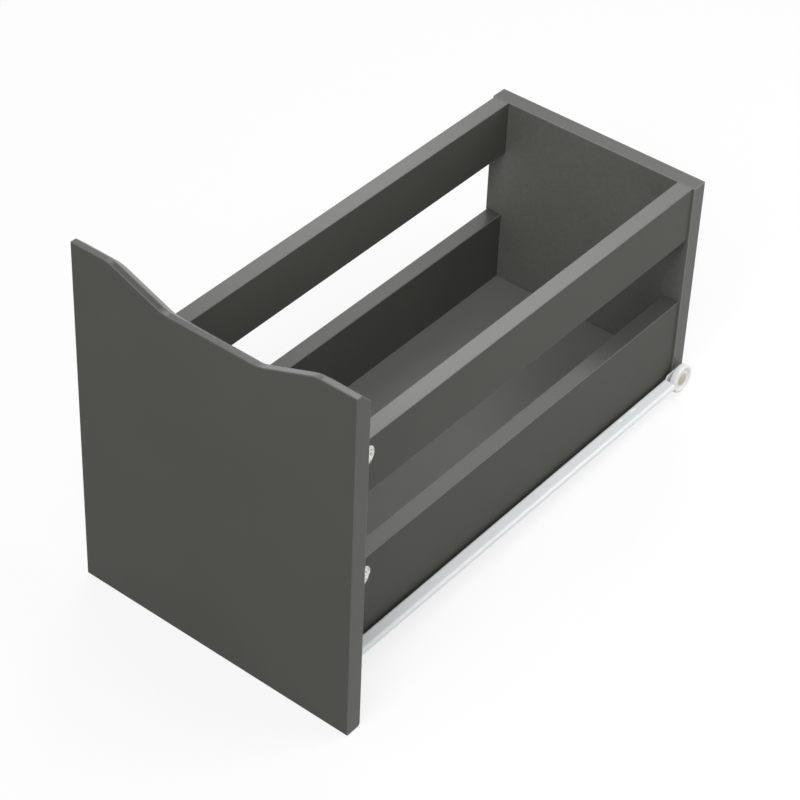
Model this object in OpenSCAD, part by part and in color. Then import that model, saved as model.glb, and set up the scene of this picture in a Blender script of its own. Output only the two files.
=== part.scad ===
// A slim pull-out drawer of a bathroom storage cabinet: a tall front panel with a wavy
// hand notch, a box with railed sides, and a roller runner along each side.
// Millimetres. The front faces -Y, +Z is up and the front panel's lower edge is at Z = 0.

/* [Front panel] */
// Width of the front panel
front_w = 216; // [200:1:240]
// Height of the front panel
front_h = 263; // [250:1:300]
// Depth of the hand notch in the top edge
notch_depth = 16; // [8:1:20]
// Width of the notch where it leaves the top edge
notch_mouth = 156; // [140:1:170]
// Width of the level stretch in the notch
notch_floor = 72; // [40:1:80]
// Radius of the turns between the level and sloping stretches
notch_round = 25; // [5:1:30]
// Level part of the top edge before the finger bevel starts
pull_flat = 4.5; // [2:0.5:8]
// Radius of the panel's lower edge at the back
lower_round = 2.5; // [1:0.5:3]

/* [Box] */
// Front of the panel to the rear of the back
depth = 388; // [380:1:450]
// Thickness of the front, side and back boards
board_t = 12; // [12:1:16]
// How far the front panel reaches past the box on each side
side_gap = 27; // [24:1:32]
// Height of the box's lower edge above the front panel's lower edge
box_bottom = 22; // [16:1:26]
// Height of the lower side boards
lower_h = 75; // [66:1:80]
// Open height between a lower side board and its rail
rail_gap = 52; // [40:1:56]
// Height of the side rails
rail_h = 41; // [38:1:46]
// How far the back stands out past each side
back_proud = 1.5; // [0.5:0.1:2]
// Underside of the floor above the box's lower edge
floor_up = 18.5; // [14:0.5:22]
// Thickness of the floor
floor_t = 3; // [3:0.5:5]

/* [Fittings] */
// Diameter of the cam locks
cam_d = 15; // [14:0.5:16]
// Back of the front panel to a cam lock's centre
cam_setback = 32; // [30:1:38]
// Diameter of the dowels
dowel_d = 6; // [5:0.5:8]
// Length of the dowels
dowel_len = 20; // [18:1:26]

/* [Runners] */
// Length of each runner
runner_len = 356; // [300:1:370]
// Thickness of the runner's sheet
sheet_t = 1.2; // [0.8:0.1:1.5]
// Inner radius of the runner's bends
bend_r = 0.8; // [0.4:0.1:1]
// Width of the top flange, web included
flange_w = 9.5; // [8:0.5:10]
// Height of the top flange above the box's lower edge
flange_up = 15; // [12:0.5:16]
// Height of the flange's turned-down lip
lip_h = 4; // [3:0.5:6]
// Diameter of the rollers
roller_d = 21; // [18:0.5:22]
// Width of the rollers' tread
roller_w = 5; // [4:0.5:6]

/* [Hidden] */
$fn = 64;
slip = 0.05;                      // radial clearance of dowels, bolts and cam locks
groove_slack = 0.2;               // room round the floor in its grooves
front_y = -depth / 2;
panel_back = front_y + board_t;
rear_y = depth / 2;
back_in = rear_y - board_t;
box_w = front_w - 2 * side_gap;
side_x = box_w / 2;               // outer face of the right side
joint_x = side_x - board_t / 2;   // middle of the right side's thickness
lower_top = box_bottom + lower_h;
rail_bottom = lower_top + rail_gap;
box_top = rail_bottom + rail_h;
back_w = box_w + 2 * back_proud;

floor_z = box_bottom + floor_up;
groove_in = board_t / 2;
floor_w = box_w - 2 * (board_t - groove_in + groove_slack);
floor_front = panel_back - groove_in + groove_slack;
floor_rear = back_in + groove_in - groove_slack;

cam_r = cam_d / 2 - slip;
cam_h = board_t / 2 + 3.5;        // depth of a cam lock's seat
cam_y = panel_back + cam_setback;
cam_turn = 160;                   // degrees from locked to open
cam_wall = 3;
cam_lid = 2.5;
cam_sunk = 0.4;                   // how far a cam lock's face lies below the side's face
bolt_r = 3;
neck_r = 2;
head_r = 3.2;
thread_r = 2.5;
thread_len = 9;
collar_t = 1.2;
dowel_in_panel = 8;

screw_r = 1.75;
screw_head_r = 3.6;
screw_head_t = 2;
screw_len = 34;

web_x = side_x + back_proud;      // inner face of the right runner's web
leg_x = side_x - board_t + 1;     // free edge of the runner's leg, under the side
runner_top = box_bottom + flange_up;
runner_rear = rear_y - 1;
runner_front = runner_rear - runner_len;
roller_y = rear_y - roller_d / 2;
roller_z = box_bottom + roller_d / 2 + 1.5;
roller_gap = 0.4;                 // end play of a roller
roller_hub = 1.8;                 // how far the hub holds the tread off the web
rivet_r = 2.5;
rivet_head_r = 4.2;
rivet_head_t = 1.3;
ear_front = roller_y - 9.5;
ear_top = runner_top + 1;
ear_r = 3;
flange_stop = roller_y - roller_d / 2 - 1;
leg_screw_ys = [runner_front + 30, 0, runner_rear - 36];
dents = [[flange_stop - 41, 6.5], [flange_stop - 55.5, 4.5]];   // place and length along the flange
leg_screw_len = 14;
pan_r = 3.2;
pan_t = 1.8;

sides = [["left", -1], ["right", 1]];
// Each level holds the name, the height of the cam locks and screws, and that of the dowels.
levels = [["upper", box_top - 12.5, box_top - 29], ["lower", lower_top - 14.5, lower_top - 37]];
turns = [
    [-front_w / 2, front_h],
    [-notch_mouth / 2, front_h],
    [-notch_floor / 2, front_h - notch_depth],
    [notch_floor / 2, front_h - notch_depth],
    [notch_mouth / 2, front_h],
    [front_w / 2, front_h]
];
top_line = concat(
    [turns[0]],
    [for (i = [1 : len(turns) - 2]) each rounded(turns[i - 1], turns[i], turns[i + 1], notch_round)],
    [turns[len(turns) - 1]]
);

function unit(v) = v / norm(v);

// Points of the arc of radius r that rounds the corner b between a and c.
function rounded(a, b, c, r, steps = 8) =
    let (
        u = unit(a - b),
        v = unit(c - b),
        half = acos(u * v) / 2,
        middle = b + unit(u + v) * r / sin(half),
        first = b + u * r / tan(half) - middle,
        last = b + v * r / tan(half) - middle,
        start = atan2(first[1], first[0]),
        swing = (atan2(last[1], last[0]) - start + 540) % 360 - 180
    )
    [for (i = [0 : steps]) let (turn = start + swing * i / steps) middle + r * [cos(turn), sin(turn)]];

module box_between(low, high) {
    translate(low) cube(high - low);
}

// A round bar or hole from p towards +Y.
module along_y(p, r, h) {
    translate(p) rotate([-90, 0, 0]) cylinder(r = r, h = h);
}

// A round bar or hole from p towards +X.
module along_x(p, r, h) {
    translate(p) rotate([0, 90, 0]) cylinder(r = r, h = h);
}

// Right-hand shapes, mirrored for the left.
module on_side(side) {
    if (side > 0) children();
    else mirror([1, 0, 0]) children();
}

module front_panel() {
    color("dimgray") difference() {
        translate([0, panel_back, 0]) rotate([90, 0, 0])
            linear_extrude(board_t) polygon(concat([[-front_w / 2, 0]], top_line, [[front_w / 2, 0]]));
        finger_bevel();
        lower_rounding();
        box_between(
            [-floor_w / 2 - groove_slack, panel_back - groove_in, floor_z],
            [floor_w / 2 + groove_slack, panel_back + 1, floor_z + floor_t + groove_slack]
        );
        for (side = sides) on_side(side[1]) for (level = levels) {
            along_y([joint_x, panel_back - thread_len - 1, level[1]], thread_r + slip, thread_len + 2);
            along_y([joint_x, panel_back - dowel_in_panel, level[2]], dowel_d / 2 + slip, dowel_in_panel + 1);
        }
    }
}

// The wedge that leaves a 45 degree bevel behind the top edge, for the fingers.
module finger_bevel() {
    over = 1;
    bevel = board_t - pull_flat + over;
    path = concat([top_line[0] - [over, 0]], top_line, [top_line[len(top_line) - 1] + [over, 0]]);
    count = len(path);
    points = [for (p = path) each [
        [p[0], front_y + pull_flat, p[1]],
        [p[0], panel_back + over, p[1] - bevel],
        [p[0], panel_back + over, p[1] + over]
    ]];
    walls = [for (i = [0 : count - 2]) for (k = [0 : 2])
        [3 * i + k, 3 * i + (k + 1) % 3, 3 * (i + 1) + (k + 1) % 3, 3 * (i + 1) + k]];
    polyhedron(points, concat([[2, 1, 0]], walls, [[3 * count - 3, 3 * count - 2, 3 * count - 1]]));
}

// What is cut off to round the panel's lower edge at the back.
module lower_rounding() {
    difference() {
        box_between([-front_w, panel_back - lower_round, -1], [front_w, panel_back + 1, lower_round]);
        along_x([-front_w - 1, panel_back - lower_round, lower_round], lower_round, 2 * front_w + 2);
    }
}

module back_panel() {
    color("dimgray") difference() {
        box_between([-back_w / 2, back_in, box_bottom], [back_w / 2, rear_y, box_top]);
        box_between(
            [-floor_w / 2 - groove_slack, back_in - 1, floor_z],
            [floor_w / 2 + groove_slack, back_in + groove_in, floor_z + floor_t + groove_slack]
        );
        for (side = sides) on_side(side[1]) for (level = levels) {
            along_y([joint_x, back_in - 1, level[2]], dowel_d / 2 + slip, dowel_in_panel + 1);
            along_y([joint_x, back_in - 1, level[1]], screw_r + slip, board_t + 2);
            screw_sink([joint_x, rear_y - screw_head_t, level[1]]);
        }
    }
}

// The countersink of a back screw, which is also its head.
module screw_sink(p) {
    translate(p) rotate([-90, 0, 0]) cylinder(r1 = screw_r + slip, r2 = screw_head_r, h = screw_head_t);
}

module floor_panel() {
    color("gray")
        box_between([-floor_w / 2, floor_front, floor_z], [floor_w / 2, floor_rear, floor_z + floor_t]);
}

// A right-hand side board from z_low to z_high with the joint holes of one level.
module side_board(z_low, z_high, level) {
    difference() {
        box_between([side_x - board_t, panel_back, z_low], [side_x, back_in, z_high]);
        along_x([side_x - cam_h, cam_y, level[1]], cam_d / 2, cam_h + 1);
        along_y([joint_x, panel_back - 1, level[1]], bolt_r + 0.4, cam_setback + 1);
        along_y([joint_x, panel_back - 1, level[2]], dowel_d / 2 + slip, dowel_len - dowel_in_panel + 1.5);
        along_y([joint_x, back_in + dowel_in_panel - dowel_len - 0.5, level[2]],
            dowel_d / 2 + slip, dowel_len);
        along_y([joint_x, rear_y - screw_len - 1, level[1]], screw_r + slip, screw_len);
    }
}

module rail(side) {
    color("slategray") on_side(side) side_board(rail_bottom, box_top, levels[0]);
}

module lower_side(side) {
    color("slategray") on_side(side) difference() {
        side_board(box_bottom, lower_top, levels[1]);
        box_between(
            [side_x - board_t - 1, panel_back - 1, floor_z],
            [side_x - board_t + groove_in, back_in + 1, floor_z + floor_t + groove_slack]
        );
        for (y = leg_screw_ys)
            translate([joint_x, y, box_bottom - 1]) cylinder(r = screw_r + slip, h = leg_screw_len);
    }
}

// A drum that turns in its seat: a lid with a driver cross over a hollow round the bolt's head.
module cam(side, level) {
    hollow_r = cam_d / 2 - cam_wall;
    bolt_in = cam_h - board_t / 2;
    slot_half = neck_r + 0.4;
    inner_gap = 0.1;
    color("gainsboro") on_side(side)
    translate([side_x - cam_h, cam_y, level[1]]) rotate([0, 90, 0]) difference() {
        translate([0, 0, inner_gap]) cylinder(r = cam_r, h = cam_h - inner_gap - cam_sunk);
        translate([0, 0, -1]) cylinder(r = hollow_r, h = cam_h - cam_lid + 1);
        // The slot that the bolt's neck runs along as the drum turns, with the head's way in at its end.
        rotate([0, 0, 270 - cam_turn]) rotate_extrude(angle = cam_turn)
            translate([hollow_r - 1, bolt_in - slot_half]) square([cam_wall + 2, 2 * slot_half]);
        rotate([0, 0, 270]) translate([0, 0, bolt_in])
            rotate([0, 90, 0]) cylinder(r = slot_half - 0.15, h = cam_d);
        rotate([0, 0, 270 - cam_turn]) translate([0, 0, bolt_in])
            rotate([0, 90, 0]) cylinder(r = head_r + 0.5, h = cam_d);
        for (turn = [45, 135]) rotate([0, 0, turn]) translate([-3, -0.6, cam_h - 1.6]) cube([6, 1.2, 2]);
    }
}

module cam_bolt(side, level) {
    head_y = cam_y - 0.6;
    neck_y = cam_y - cam_d / 2 - 0.5;
    color("silver") on_side(side) union() {
        along_y([joint_x, panel_back - thread_len, level[1]], thread_r, thread_len + 1);
        along_y([joint_x, panel_back, level[1]], bolt_r + 0.2, collar_t);
        along_y([joint_x, panel_back, level[1]], bolt_r, neck_y - panel_back);
        along_y([joint_x, panel_back, level[1]], neck_r, head_y - panel_back);
        translate([joint_x, head_y, level[1]]) sphere(r = head_r);
    }
}

module front_dowel(side, level) {
    color("burlywood") on_side(side)
        along_y([joint_x, panel_back - dowel_in_panel, level[2]], dowel_d / 2, dowel_len);
}

module back_dowel(side, level) {
    color("burlywood") on_side(side)
        along_y([joint_x, back_in + dowel_in_panel - dowel_len, level[2]], dowel_d / 2, dowel_len);
}

module back_screw(side, level) {
    color("silver") on_side(side) difference() {
        union() {
            screw_sink([joint_x, rear_y - screw_head_t, level[1]]);
            along_y([joint_x, rear_y - screw_len, level[1]], screw_r, screw_len - 0.5);
        }
        for (turn = [0, 90])
            translate([joint_x, rear_y, level[1]]) rotate([0, turn, 0]) cube([3.6, 2.4, 0.8], center = true);
    }
}

// A bent sheet: a leg under the side, an upright web, a flange on top with a turned-down lip,
// and an ear at the rear that carries the roller.
module runner(side) {
    web_out = web_x + sheet_t;
    lip_x = web_x + flange_w;
    lip_z = runner_top - lip_h;
    lip_in = lip_x - sheet_t;
    under = runner_top - sheet_t;
    low = box_bottom - sheet_t;
    outer_r = bend_r + sheet_t;
    leg_below = concat([[leg_x, low]], rounded([leg_x, low], [web_out, low], [web_out, under], outer_r));
    leg_above = concat(
        rounded([web_x, under], [web_x, box_bottom], [leg_x, box_bottom], bend_r),
        [[leg_x, box_bottom]]
    );
    web_end = [[web_out, under], [web_x, under]];
    flange = concat(
        rounded([web_out, low], [web_out, under], [lip_in, under], bend_r),
        rounded([web_out, under], [lip_in, under], [lip_in, lip_z], bend_r),
        [[lip_in, lip_z], [lip_x, lip_z]],
        rounded([lip_x, lip_z], [lip_x, runner_top], [web_x, runner_top], outer_r),
        rounded([lip_x, runner_top], [web_x, runner_top], [web_x, low], outer_r)
    );
    color("whitesmoke") on_side(side) difference() {
        union() {
            sheet_length(concat(leg_below, flange, leg_above), runner_front, flange_stop);
            sheet_length(concat(leg_below, web_end, leg_above), flange_stop, runner_rear);
            ear();
        }
        along_x([web_x - 1, roller_y, roller_z], rivet_r + slip, sheet_t + 2);
        for (y = leg_screw_ys)
            translate([joint_x, y, low - 1]) cylinder(r = screw_r + 0.3, h = sheet_t + 2);
        for (dent = dents) flange_dent(dent[0], dent[1]);
    }
}

// A stretch of the runner from y_low to y_high, whose section in X and Z is given.
module sheet_length(section, y_low, y_high) {
    translate([0, y_high, 0]) rotate([90, 0, 0]) linear_extrude(y_high - y_low) polygon(section);
}

// The web's rear end, which stands higher and has round upper corners.
module ear() {
    ear_mid = ear_top - ear_r;
    foot = box_bottom + 2 * bend_r;
    box_between([web_x, ear_front, foot], [web_x + sheet_t, runner_rear, ear_mid]);
    box_between([web_x, ear_front + ear_r, foot], [web_x + sheet_t, runner_rear - ear_r, ear_top]);
    for (y = [ear_front + ear_r, runner_rear - ear_r]) along_x([web_x, y, ear_mid], ear_r, sheet_t);
}

// A shallow round-ended dent pressed into the top of the flange.
module flange_dent(y, length) {
    dent_r = 1.2;
    deep = 0.5;
    reach = length / 2 - dent_r;
    mid_x = web_x + sheet_t + bend_r + dent_r + 0.6;
    translate([mid_x, y, runner_top - deep]) {
        for (end = [-1, 1]) translate([0, end * reach, 0]) cylinder(r = dent_r, h = deep + 1);
        translate([-dent_r, -reach, 0]) cube([2 * dent_r, 2 * reach, deep + 1]);
    }
}

// A pan-head screw up through the runner's leg into the side's lower edge.
module runner_screw(side, y) {
    color("silver") on_side(side) translate([joint_x, y, box_bottom - sheet_t]) difference() {
        union() {
            mirror([0, 0, 1]) domed_head(pan_r, pan_t);
            translate([0, 0, -0.2]) cylinder(r = screw_r, h = leg_screw_len + 0.2);
        }
        for (turn = [0, 90])
            rotate([0, 0, turn]) translate([0, 0, -pan_t]) cube([3.2, 0.8, 2], center = true);
    }
}

// A nylon wheel on its rivet: a hub that stands off the web, and a tread with a dished outer face.
module roller(side) {
    rim_r = roller_d / 2;
    rim_in = rim_r - 2.2;
    hub_r = rivet_r + 2.4;
    hub_out = tread_out() - 0.7;
    dish = tread_out() - 1.2;
    soft = 0.8;
    color("white") on_side(side)
    translate([web_x + sheet_t + roller_gap, roller_y, roller_z]) rotate([0, 90, 0])
    rotate_extrude() polygon([
        [rivet_r + slip, 0],
        [hub_r, 0],
        [hub_r, roller_hub],
        [rim_r - soft, roller_hub],
        [rim_r, roller_hub + soft],
        [rim_r, tread_out() - soft],
        [rim_r - soft, tread_out()],
        [rim_in, tread_out()],
        [rim_in - 1, dish],
        [hub_r, dish],
        [hub_r, hub_out],
        [rivet_r + slip, hub_out]
    ]);
}

// Outer face of a roller's tread above the inner end of its hub.
function tread_out() = roller_hub + roller_w;

// A shank from the inside of the web to a domed head over the roller's hub.
module rivet(side) {
    head_x = web_x + sheet_t + roller_gap + tread_out() - 0.7;
    color("darkgoldenrod") on_side(side) union() {
        along_x([web_x, roller_y, roller_z], rivet_r, head_x - web_x + 0.5);
        translate([head_x, roller_y, roller_z]) rotate([0, 90, 0]) domed_head(rivet_head_r, rivet_head_t);
    }
}

// A round head of height t whose top swells above a low rim.
module domed_head(r, t) {
    rise = t - 0.4;
    dome_r = (r ^ 2 + rise ^ 2) / (2 * rise);
    intersection() {
        cylinder(r = r, h = t);
        translate([0, 0, t - dome_r]) sphere(r = dome_r);
    }
}

front_panel();
back_panel();
floor_panel();
for (side = sides) {
    rail(side[1]);
    lower_side(side[1]);
    runner(side[1]);
    roller(side[1]);
    rivet(side[1]);
    for (i = [1 : len(leg_screw_ys)]) runner_screw(side[1], leg_screw_ys[i - 1]);
    for (level = levels) {
        place = str("_", level[0], "_", side[0]);
        cam(side[1], level);
        cam_bolt(side[1], level);
        front_dowel(side[1], level);
        back_dowel(side[1], level);
        back_screw(side[1], level);
    }
}
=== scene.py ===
import math

import bpy
from mathutils import Color, Matrix, Vector


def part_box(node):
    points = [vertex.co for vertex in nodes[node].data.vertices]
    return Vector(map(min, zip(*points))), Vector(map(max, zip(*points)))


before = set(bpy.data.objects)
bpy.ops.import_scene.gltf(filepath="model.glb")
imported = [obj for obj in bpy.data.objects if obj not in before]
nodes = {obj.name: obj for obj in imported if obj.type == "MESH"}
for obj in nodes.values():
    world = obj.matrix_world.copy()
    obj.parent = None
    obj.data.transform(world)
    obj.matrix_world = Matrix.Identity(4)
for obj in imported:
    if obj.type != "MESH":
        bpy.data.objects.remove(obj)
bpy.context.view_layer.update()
sides = ("left", "right")
levels = ("upper", "lower")
mm = 0.001
print("frame loaded:", len(nodes), "nodes")


# Shader effects that several finishes share. A Scale is in patches to the metre.

noiseMiddle = 0.5


def newGroup(name, inputs, outputs):
    group = bpy.data.node_groups.new(name, "ShaderNodeTree")
    for label, kind, value in inputs:
        socket = group.interface.new_socket(label, in_out="INPUT", socket_type=kind)
        socket.default_value = value
    for label, kind in outputs:
        group.interface.new_socket(label, in_out="OUTPUT", socket_type=kind)
    return group, group.nodes.new("NodeGroupInput"), group.nodes.new("NodeGroupOutput")


def mathIn(tree, operation):
    node = tree.nodes.new("ShaderNodeMath")
    node.operation = operation
    return node


def noiseIn(group, given, detail, roughness):
    # Object coordinates, so the pattern goes with a piece that turns.
    where = group.nodes.new("ShaderNodeTexCoord")
    noise = group.nodes.new("ShaderNodeTexNoise")
    noise.inputs["Detail"].default_value = detail
    noise.inputs["Roughness"].default_value = roughness
    group.links.new(where.outputs["Object"], noise.inputs["Vector"])
    group.links.new(given.outputs["Scale"], noise.inputs["Scale"])
    return noise


def driftIn(group, given, detail, roughness):
    # Noise that swings about the node's last input, as far as the group's Spread says.
    noise = noiseIn(group, given, detail, roughness)
    centred = mathIn(group, "SUBTRACT")
    centred.inputs[1].default_value = noiseMiddle
    drift = mathIn(group, "MULTIPLY_ADD")
    group.links.new(noise.outputs["Fac"], centred.inputs[0])
    group.links.new(centred.outputs[0], drift.inputs[0])
    group.links.new(given.outputs["Spread"], drift.inputs[1])
    return drift


def buildTone():
    # A colour that drifts a little lighter and darker over the surface.
    group, given, result = newGroup(
        "surfaceTone",
        [
            ("Color", "NodeSocketColor", (0.5, 0.5, 0.5, 1)),
            ("Spread", "NodeSocketFloat", 0.1),
            ("Scale", "NodeSocketFloat", 20),
        ],
        [("Color", "NodeSocketColor")],
    )
    drift = driftIn(group, given, detail=4, roughness=0.6)
    drift.inputs[2].default_value = 1
    tint = group.nodes.new("ShaderNodeVectorMath")
    tint.operation = "SCALE"
    group.links.new(given.outputs["Color"], tint.inputs[0])
    group.links.new(drift.outputs[0], tint.inputs["Scale"])
    group.links.new(tint.outputs[0], result.inputs["Color"])
    return group


def buildGrain():
    # Fine relief, with its height in metres.
    group, given, result = newGroup(
        "fineGrain",
        [
            ("Scale", "NodeSocketFloat", 900),
            ("Height", "NodeSocketFloat", 0.1 * mm),
            ("Strength", "NodeSocketFloat", 0.3),
        ],
        [("Normal", "NodeSocketVector")],
    )
    noise = noiseIn(group, given, detail=3, roughness=0.55)
    bump = group.nodes.new("ShaderNodeBump")
    group.links.new(given.outputs["Height"], bump.inputs["Distance"])
    group.links.new(given.outputs["Strength"], bump.inputs["Strength"])
    group.links.new(noise.outputs["Fac"], bump.inputs["Height"])
    group.links.new(bump.outputs["Normal"], result.inputs["Normal"])
    return group


def buildSheen():
    # Roughness with faint smears, as handling leaves them.
    group, given, result = newGroup(
        "handledSheen",
        [
            ("Roughness", "NodeSocketFloat", 0.5),
            ("Spread", "NodeSocketFloat", 0.1),
            ("Scale", "NodeSocketFloat", 12),
        ],
        [("Roughness", "NodeSocketFloat")],
    )
    drift = driftIn(group, given, detail=5, roughness=0.65)
    group.links.new(given.outputs["Roughness"], drift.inputs[2])
    group.links.new(drift.outputs[0], result.inputs["Roughness"])
    return group


def buildEdgeBand():
    # Mask is 1 where a strip of edge banding is glued on: faces that look up, and sideways ones as
    # far as Ends says. It rises from 0 to 1 as a face turns from Start to Full. Coat is its gloss.
    group, given, result = newGroup(
        "edgeBand",
        [
            ("Start", "NodeSocketFloat", 0.3),
            ("Full", "NodeSocketFloat", 0.75),
            ("Ends", "NodeSocketFloat", 0),
            ("Gloss", "NodeSocketFloat", 1),
        ],
        [("Mask", "NodeSocketFloat"), ("Coat", "NodeSocketFloat")],
    )
    where = group.nodes.new("ShaderNodeTexCoord")
    parts = group.nodes.new("ShaderNodeSeparateXYZ")
    sideways = mathIn(group, "ABSOLUTE")
    ends = mathIn(group, "MULTIPLY")
    either = mathIn(group, "MAXIMUM")
    ramp = group.nodes.new("ShaderNodeMapRange")
    gloss = mathIn(group, "MULTIPLY")
    link = group.links.new
    link(where.outputs["Normal"], parts.inputs[0])
    link(parts.outputs["X"], sideways.inputs[0])
    link(sideways.outputs[0], ends.inputs[0])
    link(given.outputs["Ends"], ends.inputs[1])
    link(parts.outputs["Z"], either.inputs[0])
    link(ends.outputs[0], either.inputs[1])
    link(either.outputs[0], ramp.inputs["Value"])
    link(given.outputs["Start"], ramp.inputs["From Min"])
    link(given.outputs["Full"], ramp.inputs["From Max"])
    link(ramp.outputs["Result"], result.inputs["Mask"])
    link(ramp.outputs["Result"], gloss.inputs[0])
    link(given.outputs["Gloss"], gloss.inputs[1])
    link(gloss.outputs[0], result.inputs["Coat"])
    return group


def buildPits():
    # 1 in small pits, such as a rough casting has, and 0 between them. The noise is a pit below Level,
    # and Rim is the soft step above that.
    group, given, result = newGroup(
        "castPits",
        [
            ("Scale", "NodeSocketFloat", 1200),
            ("Level", "NodeSocketFloat", 0.4),
            ("Rim", "NodeSocketFloat", 0.06),
        ],
        [("Mask", "NodeSocketFloat")],
    )
    noise = noiseIn(group, given, detail=2, roughness=0.7)
    top = mathIn(group, "ADD")
    ramp = group.nodes.new("ShaderNodeMapRange")
    ramp.interpolation_type = "SMOOTHSTEP"
    ramp.inputs["To Min"].default_value = 1
    ramp.inputs["To Max"].default_value = 0
    group.links.new(given.outputs["Level"], top.inputs[0])
    group.links.new(given.outputs["Rim"], top.inputs[1])
    group.links.new(given.outputs["Level"], ramp.inputs["From Min"])
    group.links.new(top.outputs[0], ramp.inputs["From Max"])
    group.links.new(noise.outputs["Fac"], ramp.inputs["Value"])
    group.links.new(ramp.outputs["Result"], result.inputs["Mask"])
    return group


groups = {
    "tone": buildTone(),
    "grain": buildGrain(),
    "sheen": buildSheen(),
    "edgeBand": buildEdgeBand(),
    "pits": buildPits(),
}
print("shader groups:", len(groups))


# Finishes. Every look has a colour, its drift, a fine grain and a handled sheen.

def fromScreen(*channels):
    # Levels of 0 to 255, as a screen shows them, turned into what Blender's colours hold.
    return (*Color([level / 255 for level in channels]).from_srgb_to_scene_linear(), 1)


def put(material, name, **values):
    node = material.node_tree.nodes.new("ShaderNodeGroup")
    node.node_tree = groups[name]
    for label, value in values.items():
        node.inputs[label].default_value = value
    return node


def toned(material, look, color, scale):
    return put(material, "tone", Color=color, Spread=look["toneSpread"], Scale=scale).outputs["Color"]


def mixed(material, mask, low, high):
    mix = material.node_tree.nodes.new("ShaderNodeMix")
    mix.data_type = "RGBA"
    material.node_tree.links.new(mask, mix.inputs["Factor"])
    material.node_tree.links.new(low, mix.inputs["A"])
    material.node_tree.links.new(high, mix.inputs["B"])
    return mix.outputs["Result"]


def newMaterial(name, look):
    material = bpy.data.materials.new(name)
    material.use_nodes = True
    shader = material.node_tree.nodes["Principled BSDF"]
    shader.inputs["Metallic"].default_value = look["metallic"]
    shader.inputs["Specular IOR Level"].default_value = look["specular"]
    link = material.node_tree.links.new
    grain = put(
        material, "grain",
        Scale=look["grainScale"], Height=look["grainHeight"], Strength=look["grainStrength"],
    )
    sheen = put(
        material, "sheen",
        Roughness=look["roughness"], Spread=look["sheenSpread"], Scale=look["sheenScale"],
    )
    colour = toned(material, look, look["color"], look["toneScale"])
    if "bandColor" in look:
        band = put(
            material, "edgeBand",
            Start=look["bandStart"], Full=look["bandFull"], Ends=look["bandOnEnds"], Gloss=look["bandGloss"],
        )
        bandColour = toned(material, look, look["bandColor"], look["bandToneScale"])
        colour = mixed(material, band.outputs["Mask"], colour, bandColour)
        shader.inputs["Coat Roughness"].default_value = look["bandRoughness"]
        link(band.outputs["Coat"], shader.inputs["Coat Weight"])
    if "pitColor" in look:
        pits = put(material, "pits", Scale=look["pitScale"], Level=look["pitLevel"], Rim=look["pitRim"])
        pitColour = toned(material, look, look["pitColor"], look["toneScale"])
        colour = mixed(material, pits.outputs["Mask"], colour, pitColour)
    link(colour, shader.inputs["Base Color"])
    link(sheen.outputs["Roughness"], shader.inputs["Roughness"])
    link(grain.outputs["Normal"], shader.inputs["Normal"])
    return material


foilLook = {
    "color": fromScreen(76, 76, 72),
    "metallic": 0,
    "specular": 0.2,
    "toneSpread": 0.14,
    "toneScale": 14,
    "grainScale": 1400,
    "grainHeight": 0.08 * mm,
    "grainStrength": 0.35,
    "roughness": 0.58,
    "sheenSpread": 0.12,
    "sheenScale": 9,
}
boardLook = dict(
    foilLook,
    bandColor=fromScreen(70, 70, 68),
    bandToneScale=28,
    bandStart=0.3,
    bandFull=0.75,
    bandOnEnds=0,
    bandGloss=0.35,
    bandRoughness=0.24,
)
# Painted light: the rails' edge banding is the boards' banding in a lighter colour, so the rail tops read
# lighter than the lower sides' tops below them.
railLitBandLook = dict(boardLook, bandColor=fromScreen(76, 76, 73), bandGloss=0.62)
# Painted shade: the front panel's edge banding, on its top and ends, is the same banding in a darker colour.
frontShadedBandLook = dict(boardLook, bandColor=fromScreen(52, 52, 50), bandOnEnds=0.6, bandGloss=0.8)
# Painted light: the back panel is the same foil in a lighter colour, so its face inside the drawer reads as
# lit. Its specks and grain are its own.
backPaintedLightLook = dict(
    boardLook,
    color=fromScreen(106, 106, 102),
    toneSpread=0.4,
    toneScale=520,
    grainScale=900,
    grainHeight=0.2 * mm,
    grainStrength=0.6,
    bandToneScale=1040,
    bandOnEnds=0.6,
    bandGloss=0.45,
)
# Painted highlight: a lighter foil colour for the rounded edges, standing in for the light that edges catch.
arrisHighlightLook = dict(
    foilLook,
    color=fromScreen(92, 92, 89),
    specular=0.35,
    toneSpread=0.3,
    toneScale=90,
    roughness=0.42,
)
# A paler copy: a stronger painted highlight, used on the back panel's edges.
paleArrisHighlightLook = dict(arrisHighlightLook, color=fromScreen(117, 117, 113))
floorLook = {
    "color": fromScreen(103, 103, 100),
    "metallic": 0,
    "specular": 0.5,
    "toneSpread": 0.2,
    "toneScale": 40,
    "grainScale": 1100,
    "grainHeight": 0.1 * mm,
    "grainStrength": 0.4,
    "roughness": 0.6,
    "sheenSpread": 0.1,
    "sheenScale": 14,
}
enamelLook = {
    "color": fromScreen(244, 247, 248),
    "metallic": 0,
    "specular": 0.5,
    "toneSpread": 0.06,
    "toneScale": 60,
    "grainScale": 500,
    "grainHeight": 0.1 * mm,
    "grainStrength": 0.12,
    "roughness": 0.32,
    "sheenSpread": 0.12,
    "sheenScale": 40,
}
nylonLook = {
    "color": fromScreen(240, 240, 237),
    "metallic": 0,
    "specular": 0.5,
    "toneSpread": 0.05,
    "toneScale": 120,
    "grainScale": 900,
    "grainHeight": 0.06 * mm,
    "grainStrength": 0.2,
    "roughness": 0.42,
    "sheenSpread": 0.1,
    "sheenScale": 120,
}
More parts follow.
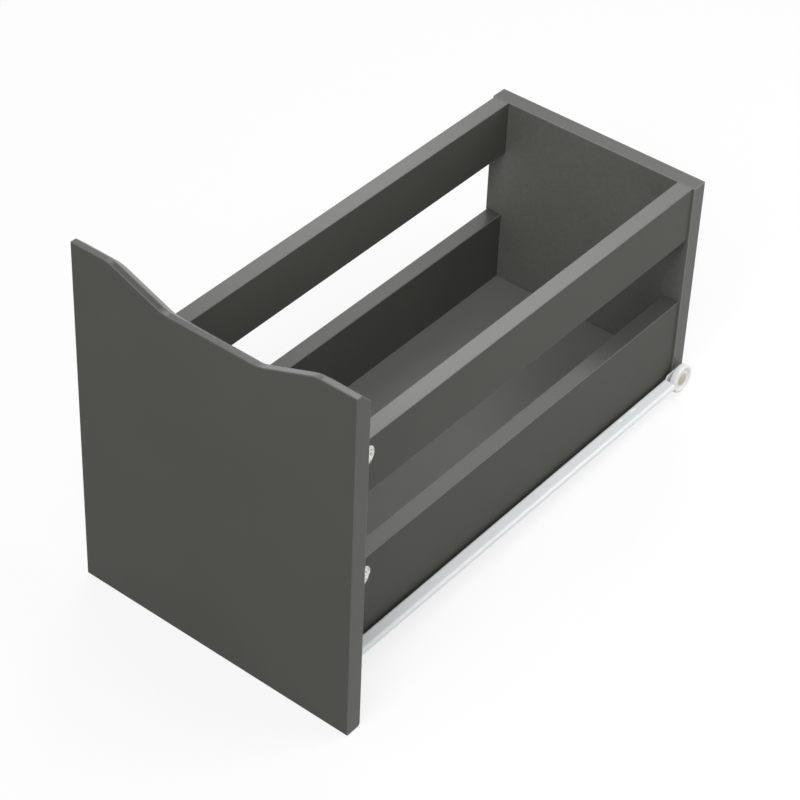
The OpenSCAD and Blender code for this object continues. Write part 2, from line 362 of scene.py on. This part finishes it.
zincLook = {
    "color": fromScreen(250, 249, 243),
    "metallic": 0.5,
    "specular": 0.5,
    "toneSpread": 0.4,
    "toneScale": 700,
    "pitColor": fromScreen(146, 142, 134),
    "pitScale": 900,
    "pitLevel": 0.41,
    "pitRim": 0.06,
    "grainScale": 1300,
    "grainHeight": 0.4 * mm,
    "grainStrength": 0.7,
    "roughness": 0.45,
    "sheenSpread": 0.3,
    "sheenScale": 500,
}
steelLook = {
    "color": fromScreen(190, 190, 188),
    "metallic": 1,
    "specular": 0.5,
    "toneSpread": 0.15,
    "toneScale": 300,
    "grainScale": 1200,
    "grainHeight": 0.05 * mm,
    "grainStrength": 0.2,
    "roughness": 0.3,
    "sheenSpread": 0.2,
    "sheenScale": 200,
}
brassLook = dict(steelLook, color=fromScreen(190, 181, 163), metallic=0.4, roughness=0.38)
beechLook = {
    "color": fromScreen(205, 170, 125),
    "metallic": 0,
    "specular": 0.5,
    "toneSpread": 0.3,
    "toneScale": 250,
    "grainScale": 1800,
    "grainHeight": 0.1 * mm,
    "grainStrength": 0.4,
    "roughness": 0.7,
    "sheenSpread": 0.1,
    "sheenScale": 80,
}
finishes = {
    "board": newMaterial("graphiteFoil", boardLook),
    "rail": newMaterial("graphiteFoilRailLitBand", railLitBandLook),
    "front": newMaterial("graphiteFoilFrontShadedBand", frontShadedBandLook),
    "back": newMaterial("graphiteFoilBackPaintedLight", backPaintedLightLook),
    "arrisHighlight": newMaterial("foilEdgeHighlight", arrisHighlightLook),
    "paleArrisHighlight": newMaterial("paleFoilEdgeHighlight", paleArrisHighlightLook),
    "floor": newMaterial("graphiteHardboard", floorLook),
    "enamel": newMaterial("whiteEnamel", enamelLook),
    "nylon": newMaterial("whiteNylon", nylonLook),
    "zinc": newMaterial("castZinc", zincLook),
    "steel": newMaterial("zincPlatedSteel", steelLook),
    "brass": newMaterial("yellowRivet", brassLook),
    "beech": newMaterial("bareBeech", beechLook),
}
print("finishes:", len(finishes))


# The CAD pieces keep their own shape, and get a finish and softened edges. On the boards but the floor, the
# rounded edges carry a painted highlight.

softEdge = {
    "weldWithin": 0.01 * mm,
    "flatWithin": math.radians(0.5),  # triangles of one face are joined again
    "sharpFrom": math.radians(38),
}


def dress(name, piece):
    obj = nodes[name]
    obj.data.materials.clear()
    obj.data.materials.append(finishes[piece["finish"]])
    # The second slot is a painted highlight, which the bevel puts on the rounded edges.
    if "edgeHighlight" in piece:
        obj.data.materials.append(finishes[piece["edgeHighlight"]])
    if "rounding" not in piece:
        return
    weld = obj.modifiers.new("weld", "WELD")
    weld.merge_threshold = softEdge["weldWithin"]
    flat = obj.modifiers.new("flatFaces", "DECIMATE")
    flat.decimate_type = "DISSOLVE"
    flat.angle_limit = softEdge["flatWithin"]
    bevel = obj.modifiers.new("softEdge", "BEVEL")
    bevel.width = piece["rounding"]
    bevel.segments = piece["steps"]
    bevel.limit_method = "ANGLE"
    bevel.angle_limit = softEdge["sharpFrom"]
    bevel.use_clamp_overlap = False
    bevel.material = 1 if "edgeHighlight" in piece else -1


frontPanel = {"finish": "front", "edgeHighlight": "arrisHighlight", "rounding": 0.6 * mm, "steps": 3}
dress("front_panel", frontPanel)

backPanel = {"finish": "back", "edgeHighlight": "paleArrisHighlight", "rounding": 0.6 * mm, "steps": 3}
dress("back_panel", backPanel)

floorPanel = {"finish": "floor"}
dress("floor_panel", floorPanel)

rail = {"finish": "rail", "edgeHighlight": "arrisHighlight", "rounding": 0.45 * mm, "steps": 3}
lowerSide = {"finish": "board", "edgeHighlight": "arrisHighlight", "rounding": 0.6 * mm, "steps": 3}
for side in sides:
    dress("rail_" + side, rail)
    dress("lower_side_" + side, lowerSide)

runner = {"finish": "enamel", "rounding": 0.15 * mm, "steps": 3}
runnerScrew = {"finish": "steel", "rounding": 0.2 * mm, "steps": 2, "count": 3}
roller = {"finish": "nylon", "rounding": 0.3 * mm, "steps": 2}
rivet = {"finish": "brass", "rounding": 0.25 * mm, "steps": 3}
for side in sides:
    dress("runner_" + side, runner)
    for number in range(1, runnerScrew["count"] + 1):
        dress("runner_screw_%s_%d" % (side, number), runnerScrew)
    dress("roller_" + side, roller)
    dress("rivet_" + side, rivet)

cam = {"finish": "zinc", "rounding": 0.15 * mm, "steps": 2}
camBolt = {"finish": "steel"}
dowel = {"finish": "beech"}
backScrew = {"finish": "steel", "rounding": 0.15 * mm, "steps": 2}
for level in levels:
    for side in sides:
        place = "_%s_%s" % (level, side)
        dress("cam" + place, cam)
        dress("cam_bolt" + place, camBolt)
        dress("front_dowel" + place, dowel)
        dress("back_dowel" + place, dowel)
        dress("back_screw" + place, backScrew)
print("nodes dressed")


# The ground leans, because the drawer stands on its front panel and on the rear ends of its runners.

ground = {
    "size": 12,
    "gap": 0.2 * mm,
    "color": fromScreen(205, 205, 205),  # as it lights the drawer from below
    "seenColor": fromScreen(255, 255, 255),  # as the camera sees it
    "lift": 0.8,  # the part of it that glows white there, while the rest keeps the shadow
}


def whiteTo(tree):
    # 1 for the camera, reflections and glass, which see a white studio, and 0 for what lights the drawer.
    rays = tree.nodes.new("ShaderNodeLightPath")
    total = rays.outputs["Is Camera Ray"]
    for kind in ("Is Glossy Ray", "Is Transmission Ray"):
        either = mathIn(tree, "MAXIMUM")
        tree.links.new(total, either.inputs[0])
        tree.links.new(rays.outputs[kind], either.inputs[1])
        total = either.outputs[0]
    return total


def groundMaterial():
    material = bpy.data.materials.new("paleGround")
    material.use_nodes = True
    tree = material.node_tree
    tree.nodes.clear()
    seen = whiteTo(tree)
    paint = tree.nodes.new("ShaderNodeMix")
    paint.data_type = "RGBA"
    paint.inputs["A"].default_value = ground["color"]
    paint.inputs["B"].default_value = ground["seenColor"]
    diffuse = tree.nodes.new("ShaderNodeBsdfDiffuse")
    glow = tree.nodes.new("ShaderNodeEmission")
    share = mathIn(tree, "MULTIPLY")
    share.inputs[1].default_value = ground["lift"]
    mix = tree.nodes.new("ShaderNodeMixShader")
    out = tree.nodes.new("ShaderNodeOutputMaterial")
    tree.links.new(seen, paint.inputs["Factor"])
    tree.links.new(paint.outputs["Result"], diffuse.inputs["Color"])
    tree.links.new(seen, share.inputs[0])
    tree.links.new(share.outputs[0], mix.inputs["Fac"])
    tree.links.new(diffuse.outputs[0], mix.inputs[1])
    tree.links.new(glow.outputs[0], mix.inputs[2])
    tree.links.new(mix.outputs[0], out.inputs["Surface"])
    return material


def makeGround():
    panelLow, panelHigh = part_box("front_panel")
    runnerLow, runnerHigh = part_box("runner_right")
    tilt = math.atan2(runnerLow.z - panelLow.z, runnerHigh.y - panelHigh.y)
    foot = Matrix.Translation((0, panelHigh.y, panelLow.z - ground["gap"])) @ Matrix.Rotation(tilt, 4, "X")
    half = ground["size"] / 2
    corners = [(-half, -half, 0), (half, -half, 0), (half, half, 0), (-half, half, 0)]
    mesh = bpy.data.meshes.new("ground")
    mesh.from_pydata([foot @ Vector(corner) for corner in corners], [], [(0, 1, 2, 3)])
    mesh.materials.append(groundMaterial())
    obj = bpy.data.objects.new("ground", mesh)
    bpy.context.scene.collection.objects.link(obj)


makeGround()


studio = {
    "strength": 0.36,  # what the world gives the drawer
    "seenStrength": 1,
}


def makeWorld():
    world = bpy.data.worlds.new("studio")
    world.use_nodes = True
    tree = world.node_tree
    background = tree.nodes["Background"]
    background.inputs["Color"].default_value = (1, 1, 1, 1)
    level = tree.nodes.new("ShaderNodeMapRange")
    level.inputs["To Min"].default_value = studio["strength"]
    level.inputs["To Max"].default_value = studio["seenStrength"]
    tree.links.new(whiteTo(tree), level.inputs["Value"])
    tree.links.new(level.outputs["Result"], background.inputs["Strength"])
    bpy.context.scene.world = world


makeWorld()


lamps = {
    "key": {"at": (0.5, -1.35, 2.0), "aim": (0, 0, 0.1), "size": 1.0, "power": 11},
    "right": {"at": (0.6, 0.55, 0.33), "aim": (0.08, 0.05, 0.1), "size": 0.4, "power": 1.25},
    "left": {"at": (-1.7, 1.0, 0.9), "aim": (0, 0, 0.12), "size": 1.5, "power": 7.5},
    "rearHigh": {"at": (-0.754, 1.361, 1.706), "aim": (0, 0, 0.15), "size": 0.8, "power": 9},
    "frontNear": {"at": (0.15, -0.8, 0.75), "aim": (0.03, -0.194, 0.17), "size": 0.35, "power": 2.6},
    "fill": {"at": (0.36, 0.1, 0.82), "aim": (-0.05, 0.08, 0.1), "size": 0.35, "power": 1.9},
}


def makeLamp(name, lamp):
    data = bpy.data.lights.new(name, "AREA")
    data.size = lamp["size"]
    data.energy = lamp["power"]
    obj = bpy.data.objects.new(name, data)
    obj.location = lamp["at"]
    obj.rotation_euler = (Vector(lamp["aim"]) - Vector(lamp["at"])).to_track_quat("-Z", "Y").to_euler()
    bpy.context.scene.collection.objects.link(obj)


for name, lamp in lamps.items():
    makeLamp(name, lamp)
print("ground and light ready")


# The photograph's view, from the right front and above.

lens = {
    "at": (0.7904, -1.0510, 1.1809),
    "azimuth": 37.454,
    "elevation": 38.186,
    "roll": 2.468,
    "focal": 119.4,
    "sensor": 36,
    "shiftX": 0.0006,
    "shiftY": -0.1006,
    "reach": 60,
}


def makeCamera():
    data = bpy.data.cameras.new("camera")
    data.lens = lens["focal"]
    data.sensor_width = lens["sensor"]
    data.shift_x = lens["shiftX"]
    data.shift_y = lens["shiftY"]
    data.clip_end = lens["reach"]
    azimuth, elevation, roll = (math.radians(lens[key]) for key in ("azimuth", "elevation", "roll"))
    right = Vector((math.cos(azimuth), math.sin(azimuth), 0))
    level = Vector((math.sin(azimuth), -math.cos(azimuth), 0))  # from the drawer to the camera
    back = level * math.cos(elevation) + Vector((0, 0, math.sin(elevation)))
    up = back.cross(right)
    rolledRight = right * math.cos(roll) + up * math.sin(roll)
    rolledUp = up * math.cos(roll) - right * math.sin(roll)
    turn = Matrix((rolledRight, rolledUp, back)).transposed().to_4x4()
    obj = bpy.data.objects.new("camera", data)
    obj.matrix_world = Matrix.Translation(lens["at"]) @ turn
    bpy.context.scene.collection.objects.link(obj)
    bpy.context.scene.camera = obj


makeCamera()
bpy.context.scene.view_settings.view_transform = "Standard"
print("camera set")

bpy.context.view_layer.update()
